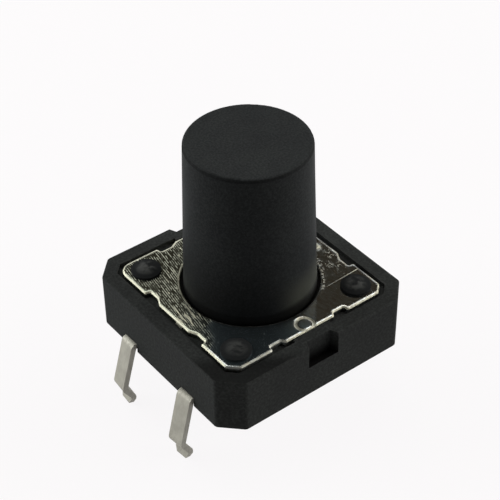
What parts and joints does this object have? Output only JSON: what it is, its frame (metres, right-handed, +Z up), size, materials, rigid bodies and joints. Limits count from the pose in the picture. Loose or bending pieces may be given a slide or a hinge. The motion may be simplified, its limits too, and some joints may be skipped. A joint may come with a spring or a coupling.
{
  "type": "tactile push button switch",
  "caption": "Square through-hole tactile push button switch with a long round stem, a staked metal cover plate and kinked flat leads.",
  "frame": {"origin": "middle of the base's underside, the face that sits on the circuit board", "axes": "+Z up along the stem, away from the board; the leads leave the two X sides; the coined ring on the cover is towards -Y"},
  "size_m": [0.014, 0.012, 0.0157],
  "materials": {
    "base_plastic": "matte moulded, glass filled",
    "stem_plastic": "fine matte moulded",
    "cover_metal": "plated sheet with rolling marks",
    "lead_metal": "matte tin plate",
    "dome_metal": "spring strip"
  },
  "bodies": {
    "housing": {"base": "base_plastic", "outer_terminal": "lead_metal", "centre_terminal": "lead_metal", "cover": "cover_metal", "snap_dome": "dome_metal"},
    "plunger": {"stem": "stem_plastic"}
  },
  "joints": [
    {"name": "stem_press", "type": "slide", "parent": "housing", "child": "plunger", "axis": [0, 0, -1], "range_m": [0, 0.0003], "stiffness_N_per_m": 6000, "deforming": ["snap_dome"]}
  ]
}
